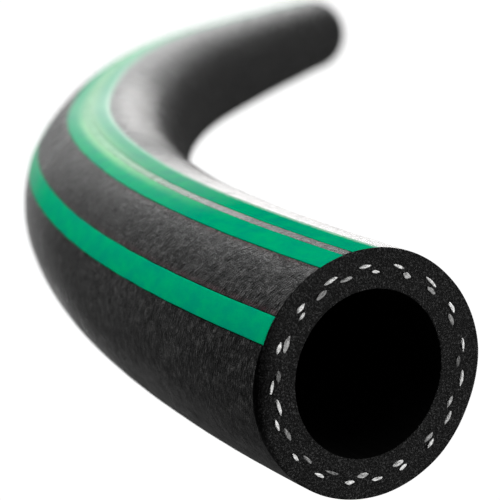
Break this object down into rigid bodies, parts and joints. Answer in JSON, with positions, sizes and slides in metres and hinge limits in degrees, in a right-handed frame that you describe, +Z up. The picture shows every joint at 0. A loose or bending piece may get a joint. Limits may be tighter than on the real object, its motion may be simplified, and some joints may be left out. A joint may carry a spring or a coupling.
{
  "type": "garden water hose",
  "caption": "Cut length of flexible textile-reinforced rubber water hose with inlaid coloured stripes, lying in a gentle bend and able to flex along its length.",
  "frame": {"origin": "middle of the hose's bounding box, at ground level", "axes": "+Z up; +Y the way the hose leaves its near cut end, whose face looks along -Y; the hose turns towards +X"},
  "size_m": [0.2872, 0.4464, 0.0235],
  "materials": {
    "cover_rubber": "matte, with the fine woven print of the curing wrap",
    "tube_rubber": "smooth matte",
    "stripe_rubber": "satin, with the fine woven print of the curing wrap",
    "yarn": "twisted textile yarn"
  },
  "bodies": {
    "near_end": {"inner_tube_1": "tube_rubber", "inner_yarn_ply_1": "yarn", "outer_yarn_ply_1": "yarn", "outer_cover_1": "cover_rubber", "green_stripe_top_1": "stripe_rubber", "green_stripe_mid_1": "stripe_rubber", "green_stripe_side_1": "stripe_rubber"},
    "run_2": {"inner_tube_2": "tube_rubber", "inner_yarn_ply_2": "yarn", "outer_yarn_ply_2": "yarn", "outer_cover_2": "cover_rubber", "green_stripe_top_2": "stripe_rubber", "green_stripe_mid_2": "stripe_rubber", "green_stripe_side_2": "stripe_rubber"},
    "run_3": {"inner_tube_3": "tube_rubber", "inner_yarn_ply_3": "yarn", "outer_yarn_ply_3": "yarn", "outer_cover_3": "cover_rubber", "green_stripe_top_3": "stripe_rubber", "green_stripe_mid_3": "stripe_rubber", "green_stripe_side_3": "stripe_rubber"},
    "run_4": {"inner_tube_4": "tube_rubber", "inner_yarn_ply_4": "yarn", "outer_yarn_ply_4": "yarn", "outer_cover_4": "cover_rubber", "green_stripe_top_4": "stripe_rubber", "green_stripe_mid_4": "stripe_rubber", "green_stripe_side_4": "stripe_rubber"},
    "run_5": {"inner_tube_5": "tube_rubber", "inner_yarn_ply_5": "yarn", "outer_yarn_ply_5": "yarn", "outer_cover_5": "cover_rubber", "green_stripe_top_5": "stripe_rubber", "green_stripe_mid_5": "stripe_rubber", "green_stripe_side_5": "stripe_rubber"},
    "run_6": {"inner_tube_6": "tube_rubber", "inner_yarn_ply_6": "yarn", "outer_yarn_ply_6": "yarn", "outer_cover_6": "cover_rubber", "green_stripe_top_6": "stripe_rubber", "green_stripe_mid_6": "stripe_rubber", "green_stripe_side_6": "stripe_rubber"},
    "run_7": {"inner_tube_7": "tube_rubber", "inner_yarn_ply_7": "yarn", "outer_yarn_ply_7": "yarn", "outer_cover_7": "cover_rubber", "green_stripe_top_7": "stripe_rubber", "green_stripe_mid_7": "stripe_rubber", "green_stripe_side_7": "stripe_rubber"},
    "far_end": {"inner_tube_8": "tube_rubber", "inner_yarn_ply_8": "yarn", "outer_yarn_ply_8": "yarn", "outer_cover_8": "cover_rubber", "green_stripe_top_8": "stripe_rubber", "green_stripe_mid_8": "stripe_rubber", "green_stripe_side_8": "stripe_rubber"}
  },
  "joints": [
    {"name": "side_bend_1", "type": "hinge", "parent": "near_end", "child": "run_2", "pos_m": [-0.12211, -0.15894, 0.01163], "axis": [0, 0, 1], "range_deg": [-15, 25], "stiffness_Nm_per_rad": 0.35},
    {"name": "lift_bend_2", "type": "hinge", "parent": "run_2", "child": "run_3", "pos_m": [-0.09717, -0.09876, 0.01163], "axis": [0.8845, -0.4665, 0], "range_deg": [-20, 20], "stiffness_Nm_per_rad": 0.35},
    {"name": "side_bend_3", "type": "hinge", "parent": "run_3", "child": "run_4", "pos_m": [-0.06496, -0.04202, 0.01163], "axis": [0, 0, 1], "range_deg": [-20, 25], "stiffness_Nm_per_rad": 0.35},
    {"name": "lift_bend_4", "type": "hinge", "parent": "run_4", "child": "run_5", "pos_m": [-0.02929, 0.0126, 0.01163], "axis": [0.8199, -0.5725, 0], "range_deg": [-20, 20], "stiffness_Nm_per_rad": 0.35},
    {"name": "side_bend_5", "type": "hinge", "parent": "run_5", "child": "run_6", "pos_m": [0.00971, 0.0649, 0.01163], "axis": [0, 0, 1], "range_deg": [-22, 25], "stiffness_Nm_per_rad": 0.35},
    {"name": "lift_bend_6", "type": "hinge", "parent": "run_6", "child": "run_7", "pos_m": [0.05074, 0.11564, 0.01163], "axis": [0.7736, -0.6337, 0], "range_deg": [-20, 20], "stiffness_Nm_per_rad": 0.35},
    {"name": "side_bend_7", "type": "hinge", "parent": "run_7", "child": "far_end", "pos_m": [0.0924, 0.16585, 0.01163], "axis": [0, 0, 1], "range_deg": [-25, 25], "stiffness_Nm_per_rad": 0.35}
  ]
}
